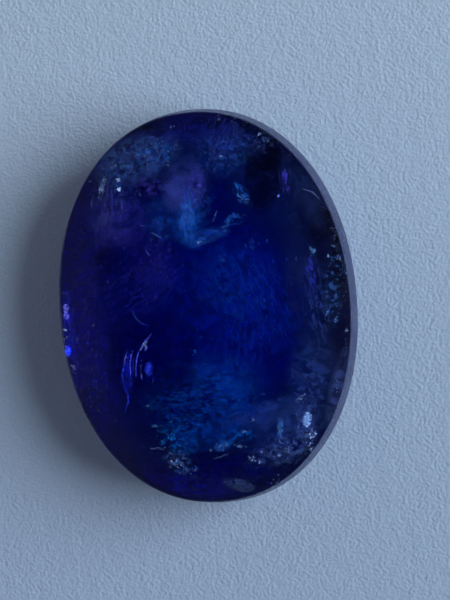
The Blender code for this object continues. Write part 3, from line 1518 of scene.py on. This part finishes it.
    def grains(self) -> Grains:
        """The specks, dashes and chips, most of them bright with painted glints.

        Returns:
            The grains.
        """
        clusters = (
            Cluster(Pixel(118, 180), (2.4, 1.8), 14, 0.35, 2.0),
            Cluster(Pixel(119.5, 189.5), (2.6, 2.0), 16, 0.35, 2.0),
            Cluster(Pixel(119, 185), (3, 4), 8, 0.4, 0.4, 0.07, Tint.TEAL),
            Cluster(Pixel(102, 188), (3.4, 12), 70, 0.4, 1.0, 0.045, turn=-14),
            Cluster(Pixel(114, 167), (4.5, 2.0), 22, 0.4, 0.7, 0.055, turn=35),
            Cluster(Pixel(90, 181), (1, 2), 4, 0.3, 0.5, 0.05),
            Cluster(Pixel(168, 165), (1.5, 1), 4, 0.6, 0.8),
            Cluster(Pixel(172, 127), (3, 1.5), 6, 0.5, 0.6, turn=50),
            Cluster(Pixel(154, 137), (1.5, 1), 4, 0.5, 0.5, 0.05),
            Cluster(Pixel(145, 156), (36, 18), 130, 0.7, 0.5, 0.05, turn=22),
            Cluster(Pixel(148, 190), (16, 9), 50, 0.7, 0.8, 0.045, Tint.CHEVRON, turn=10),
            Cluster(Pixel(198, 184), (5, 11), 40, 0.7, 0.8, 0.05, Tint.CHEVRON),
            Cluster(Pixel(196, 200), (1.5, 2), 5, 0.7, 0.8),
            Cluster(Pixel(186, 207), (1.5, 1.5), 5, 0.8, 0.7),
            Cluster(Pixel(187, 218), (2, 6), 10, 0.9, 0.8, 0.05),
            Cluster(Pixel(199, 242), (3, 2), 8, 0.9, 0.7),
            Cluster(Pixel(225, 229), (3, 4), 10, 0.9, 0.5, tint=Tint.ICE),
            Cluster(
                Pixel(236, 187), (3, 8), 16, 0.9, 0.6, 0.05, Tint.TEAL, turn=10, long=2.5, way=-75, stray=15
            ),
            Cluster(
                Pixel(244, 200), (8, 4), 24, 0.9, 0.6, 0.055, Tint.ICE, turn=-35, long=2, way=-35, stray=20
            ),
            Cluster(Pixel(231, 219), (4, 7), 16, 1.0, 0.5, tint=Tint.TEAL, turn=-20),
            Cluster(Pixel(251, 244), (4, 6), 12, 0.9, 0.12, tint=Tint.ICE),
            Cluster(Pixel(222, 260), (4, 2), 10, 1.0, 0.3, tint=Tint.ICE),
            Cluster(Pixel(151, 240), (1, 1), 3, 0.7, 0.8, 0.05),
            Cluster(Pixel(221, 157), (3, 1.5), 7, 0.6, 0.5),
            Cluster(Pixel(224, 142), (3, 2), 7, 0.6, 0.5, tint=Tint.ICE),
            Cluster(Pixel(220, 114), (2, 1), 4, 0.3, 0.5),
            Cluster(Pixel(233, 117), (4, 1), 6, 0.3, 0.4, 0.05, turn=-20),
            Cluster(Pixel(260, 134), (2, 1.5), 7, 0.4, 0.8),
            Cluster(Pixel(259, 147), (2, 2), 5, 0.5, 0.6, tint=Tint.GREY),
            Cluster(Pixel(268, 140), (6, 2), 9, 0.4, 0.4, 0.05, turn=-45),
            Cluster(Pixel(279, 196), (1.2, 1.8), 6, 0.6, 1.4, 0.07, Tint.CHEVRON),
            Cluster(Pixel(312, 250), (3, 4), 12, 0.5, 0.5, 0.08, Tint.ICE),
            Cluster(Pixel(328, 255), (1.5, 1.5), 6, 0.35, 0.7, 0.07),
            Cluster(Pixel(333, 246), (2, 1.5), 6, 0.35, 0.5),
            Cluster(Pixel(339, 258), (2, 3), 8, 0.35, 0.5),
            Cluster(Pixel(346, 271), (1.5, 3), 7, 0.3, 0.4, 0.05),
            Cluster(Pixel(334, 230), (5, 7), 8, 0.3, 0.4, 0.05, turn=25),
            Cluster(Pixel(296, 259), (2, 3), 8, 0.8, 0.3, 0.07, Tint.GREY),
            Cluster(Pixel(337, 285), (9, 30), 50, 0.8, 0.10, 0.05, Tint.ICE, turn=4),
            Cluster(Pixel(327, 313), (2, 3), 8, 0.4, 0.3, 0.08, Tint.ICE),
            Cluster(Pixel(336, 319), (2, 4), 8, 0.4, 0.25, 0.07, Tint.ICE),
            Cluster(Pixel(347, 331), (1.5, 3), 6, 0.25, 0.3),
            Cluster(Pixel(346, 344), (2, 6), 10, 0.25, 0.4, tint=Tint.GREY),
            Cluster(Pixel(338, 390), (2, 3), 8, 0.3, 0.3),
            Cluster(Pixel(308, 419), (3.5, 8), 44, 0.7, 1.6, 0.08, turn=-8),
            Cluster(Pixel(311, 437), (5, 10), 46, 0.5, 2.2, turn=-18),
            Cluster(Pixel(304, 420), (10, 18), 70, 0.7, 0.1, tint=Tint.MILK),
            Cluster(Pixel(302, 398), (6, 3), 18, 0.4, 0.9, turn=30),
            Cluster(Pixel(281, 432), (3, 12), 26, 0.9, 0.6, tint=Tint.ICE, long=3, way=88, stray=12),
            Cluster(Pixel(312, 450), (3, 4), 14, 0.3, 1.2, turn=-40),
            Cluster(Pixel(289, 449), (4, 3), 14, 0.5, 1.2),
            Cluster(Pixel(278, 455), (3, 2), 10, 0.5, 0.9),
            Cluster(Pixel(284, 450), (16, 9), 60, 0.5, 0.5, tint=Tint.GREY, turn=10),
            Cluster(Pixel(255, 460), (8, 3), 34, 0.6, 0.9, 0.055, turn=-24),
            Cluster(Pixel(262, 452), (2, 1), 6, 0.6, 0.7),
            Cluster(Pixel(253, 420), (1.5, 1.5), 7, 0.6, 0.8),
            Cluster(Pixel(263, 394), (3, 2), 8, 0.8, 0.3, tint=Tint.LILAC),
            Cluster(Pixel(240, 446), (6, 2), 20, 0.8, 0.8, turn=-8),
            Cluster(Pixel(244, 432), (2, 2), 8, 0.8, 0.7),
            Cluster(Pixel(222, 446), (8, 5), 30, 0.8, 0.6, 0.05, Tint.ICE, turn=20),
            Cluster(Pixel(210, 450), (1.5, 1.5), 6, 0.8, 1.0),
            Cluster(Pixel(238, 484), (15, 5), 50, 0.5, 0.4, 0.07, Tint.GREY, turn=-8),
            Cluster(Pixel(276, 483), (9, 4), 20, 0.4, 0.4, tint=Tint.GREY, turn=25),
            Cluster(Pixel(172, 437), (4, 4), 16, 0.8, 0.9, 0.07, Tint.TEAL),
            Cluster(Pixel(163, 442), (2, 3), 10, 0.8, 1.0, 0.07, Tint.TEAL),
            Cluster(Pixel(194, 352), (4, 3), 9, 1.0, 0.25, 0.07, Tint.TEAL),
            Cluster(Pixel(159, 448), (9, 1.6), 14, 0.7, 0.9, 0.045, long=2.5, stray=8),
            Cluster(Pixel(180, 463), (17, 11), 80, 0.8, 1.0, 0.05, turn=-30, way=20, stray=30),
            Cluster(Pixel(157, 426), (6, 1.5), 14, 0.8, 0.6, 0.05, Tint.ICE, long=3, stray=8),
            Cluster(Pixel(148, 406), (2, 1), 5, 0.7, 0.6, 0.05, long=3, stray=8),
            Cluster(Pixel(180, 425), (26, 12), 60, 0.9, 0.7, 0.05, Tint.TEAL),
            Cluster(Pixel(67.5, 351), (3.4, 5), 90, 0.25, 2.2, 0.10, Tint.SPARK, turn=10),
            Cluster(Pixel(66, 309), (3, 5), 44, 0.15, 2.4, 0.05, Tint.CHEVRON, long=3, way=-40, stray=12),
            Cluster(Pixel(67, 316), (3, 4), 30, 0.15, 2.0, 0.05, Tint.CHEVRON, long=3, way=30, stray=12),
            Cluster(Pixel(64, 330), (3, 1), 12, 0.15, 1.0, 0.07, long=2.5, stray=10),
            Cluster(Pixel(63.5, 338), (1.5, 2), 8, 0.15, 0.8, 0.07),
            Cluster(Pixel(65, 293), (2.5, 1), 5, 0.3, 0.6, tint=Tint.LILAC, long=2, way=-20, stray=10),
            Cluster(Pixel(74, 369), (2.5, 5), 18, 0.3, 0.5, turn=20),
            Cluster(Pixel(75, 387), (1, 1), 3, 0.2, 0.6),
            Cluster(Pixel(77, 340), (2.5, 2.5), 12, 0.4, 0.8, 0.07, Tint.CHEVRON),
            Cluster(Pixel(93, 325), (1, 3), 8, 0.4, 0.4, 0.05, long=2, way=70, stray=20),
            Cluster(Pixel(149, 369), (4, 6), 14, 0.6, 1.8, 0.04, Tint.CHEVRON),
            Cluster(Pixel(141, 366), (2, 8), 16, 0.7, 1.6, 0.035, Tint.CHEVRON, turn=-4),
            Cluster(Pixel(144, 345), (1.5, 8), 18, 0.7, 1.0, 0.05, turn=-35, long=2.5, way=55, stray=12),
            Cluster(Pixel(153, 379), (1, 4), 7, 0.7, 1.0, 0.05, Tint.CHEVRON, way=90, stray=10),
            Cluster(Pixel(208, 306), (140, 185), 900, 1.0, 0.08, 0.035, Tint.GREY, turn=95, spread=0.7),
            Cluster(Pixel(142, 262), (48, 44), 90, 0.9, 0.25, 0.07, Tint.VIOLET, long=2.5, way=70, stray=50),
            Cluster(Pixel(235, 290), (60, 60), 90, 1.4, 0.20, 0.07, Tint.BLUE, long=2.5, way=70, stray=50),
            Cluster(Pixel(200, 140), (62, 24), 110, 0.6, 0.35, 0.05, Tint.GREY, turn=5),
            Cluster(
                Pixel(94, 385), (16, 50), 50, 0.5, 0.25, 0.05, Tint.LILAC, turn=-14, long=3, way=82, stray=15
            ),
        )
        finish = PaintedGlintFinish("grain_skin_painted_glints")
        return Grains("bright_grains", finish, clusters + self.crease_chips(), self.optics)

    def cracks(self) -> Threads:
        """Crack edges, needles and thin pale arcs, most of them bright with painted glints.

        Returns:
            The threads.
        """
        lines = (
            Line(path((152, 333), (147, 339), (142, 346), (139, 351)), 0.8, 0.06, Tint.EDGE, 1.6),
            Line(path((139, 351), (137, 358), (136, 366), (136, 377)), 0.8, 0.05, Tint.EDGE, 1.5),
            Line(path((133, 350), (131, 356), (130, 365), (131, 388)), 0.8, 0.05, Tint.EDGE, 1.5),
            Line(path((127, 352), (125, 359), (124, 366)), 0.8, 0.05, Tint.CHEVRON, 1.0),
            Line(path((124, 366), (122, 374), (124, 386)), 0.8, 0.09, Tint.SPARK, 1.0),
            Line(path((124, 386), (128, 395), (128, 403), (125, 412)), 0.8, 0.05, Tint.SPARK, 1.2),
            Line(path((147, 346), (145, 351)), 0.8, 0.07, Tint.CHEVRON, 1.2),
            Line(path((134, 356), (133, 364), (134, 372)), 0.9, 0.03, Tint.EDGE, 0.7),
            Line(path((129, 354), (127, 362), (127, 376)), 0.9, 0.03, Tint.SPARK, 0.9),
            Line(path((141, 372), (142, 380)), 0.9, 0.04, Tint.CHEVRON, 0.7),
            Line(path((303, 189), (312, 192), (320, 199)), 0.6, 0.05, Tint.WHITE, 0.05),
            Line(path((103, 292), (116, 282), (133, 269)), 1.4, 0.05, Tint.LILAC, 0.0),
            Line(path((131, 308), (134, 316), (140, 323), (149, 326)), 1.2, 0.11, Tint.CHEVRON, 0.12),
            Line(path((213, 459), (220, 457), (228, 454)), 0.7, 0.035, Tint.GLINT, 0.5),
            Line(path((140, 226), (147, 226)), 0.7, 0.05, Tint.GREY, 0.5),
            Line(path((151, 232), (156, 235), (161, 238)), 0.8, 0.06, Tint.ICE, 0.35),
            Line(path((92, 200), (91, 209)), 0.5, 0.06, Tint.LILAC, 0.15),
            Line(path((112, 191), (112, 214)), 0.6, 0.06, Tint.LILAC, 0.08),
            Line(path((121, 197), (123, 214)), 0.6, 0.06, Tint.VIOLET, 0.3),
            Line(path((145, 250), (150, 256)), 0.9, 0.10, Tint.CHEVRON, 0.3),
            Line(path((218, 207), (215, 215), (213, 222)), 1.0, 0.07, Tint.ICE, 0.35),
            Line(path((284, 168), (285, 177), (285, 185)), 0.8, 0.06, Tint.VIOLET, 0.12),
        )
        return Threads("crack_edges", PaintedGlintFinish("crack_skin_painted_glints", roughness=0.25), lines, self.optics)

    def build(self) -> None:
        """Makes every flaw."""
        for flaw in (self.painted_shade, self.painted_glow, self.haze, self.wisps, self.frost, self.grains, self.cracks):
            flaw().build()


@dataclass
class Studio:
    """The plain floor, one soft light and the dim surroundings.

    The room is paler low down, a little brighter beyond the stone's upper end and warmer on the left.
    A band is where such a change starts and where it is full, from -1 to 1 along its axis.
    """

    floor_reach: float = 1.2
    floor_gap: float = 0.02 * MM
    key_way: Vector = field(default_factory=lambda: Vector((1.0, 0.08, 0.55)))
    key_distance: float = 0.45
    key_size: float = 0.42
    key_power: float = 2.16
    key_colour: Colour = (0.74, 0.88, 1.0)
    sky_colour: Colour = (0.64, 0.78, 1.0)
    sky_low: float = 0.35
    sky_overhead: float = 0.08
    sky_lean: float = 0.35
    low_band: Band = (0.75, 0.05)
    warm_colour: Colour = (0.78, 0.74, 0.82)
    warm_band: Band = (0.3, -0.7)
    mirrored_low: float = 0.064
    seen_lift: float = 0.2
    most_veils: int = 48  # how many veils a ray may pass through

    def add_floor(self) -> None:
        """Lays the floor that the stone rests on."""
        reach, down = self.floor_reach, -self.floor_gap
        mesh = bpy.data.meshes.new("floor")
        corners = [(-reach, -reach, down), (reach, -reach, down), (reach, reach, down), (-reach, reach, down)]
        mesh.from_pydata(corners, [], [(0, 1, 2, 3)])
        mesh.materials.append(FloorFinish().material())
        new_piece("floor", mesh)

    def add_key(self) -> None:
        """Hangs the large soft light low on the stone's right."""
        data = bpy.data.lights.new("key", "AREA")
        data.shape = "DISK"
        data.size = self.key_size
        data.energy = self.key_power
        data.color = self.key_colour
        light = bpy.data.objects.new("key", data)
        way = self.key_way.normalized()
        light.location = way * self.key_distance
        light.rotation_euler = way.to_track_quat("Z", "Y").to_euler()
        light.visible_camera = False
        light.visible_glossy = False
        bpy.context.scene.collection.objects.link(light)

    def add_surroundings(self) -> None:
        """Gives the scene a dim room: dark overhead and paler towards the horizon."""
        world = bpy.data.worlds.new("room")
        world.use_nodes = True
        desk = Desk(world.node_tree)
        way = desk.node("ShaderNodeTexCoord", output="Generated")
        low = desk.coordinate(way, "Z").ease(*self.low_band)
        far_side = 1 + desk.coordinate(way, "Y") * self.sky_lean
        seen = desk.node("ShaderNodeLightPath", output="Is Camera Ray")
        mirrored = desk.node("ShaderNodeLightPath", output="Is Glossy Ray")
        open_sky = low * far_side * self.sky_low + self.sky_overhead
        strength = open_sky * (1 - mirrored) + low * mirrored * self.mirrored_low + seen * self.seen_lift
        left = desk.coordinate(way, "X").ease(*self.warm_band)
        colour = desk.mix(left, self.sky_colour, self.warm_colour)
        shader = desk.node("ShaderNodeBackground", None, {"Color": colour, "Strength": strength})
        desk.node("ShaderNodeOutputWorld", None, {"Surface": shader})
        bpy.context.scene.world = world

    def build(self) -> None:
        """Sets up the floor, the light and the surroundings."""
        self.add_floor()
        self.add_key()
        self.add_surroundings()
        bpy.context.scene.view_settings.view_transform = "Standard"
        bpy.context.scene.cycles.transparent_max_bounces = self.most_veils


def main() -> None:
    """Builds the scene in order and reports each piece."""
    logging.basicConfig(level=logging.INFO, format="%(name)s: %(message)s")
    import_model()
    form = Form.from_frame()
    sight = Sight()
    sight.add_camera()
    Skin(form).build()
    Flaws(Optics(form, sight)).build()
    Studio().build()


if __name__ == "__main__":
    main()
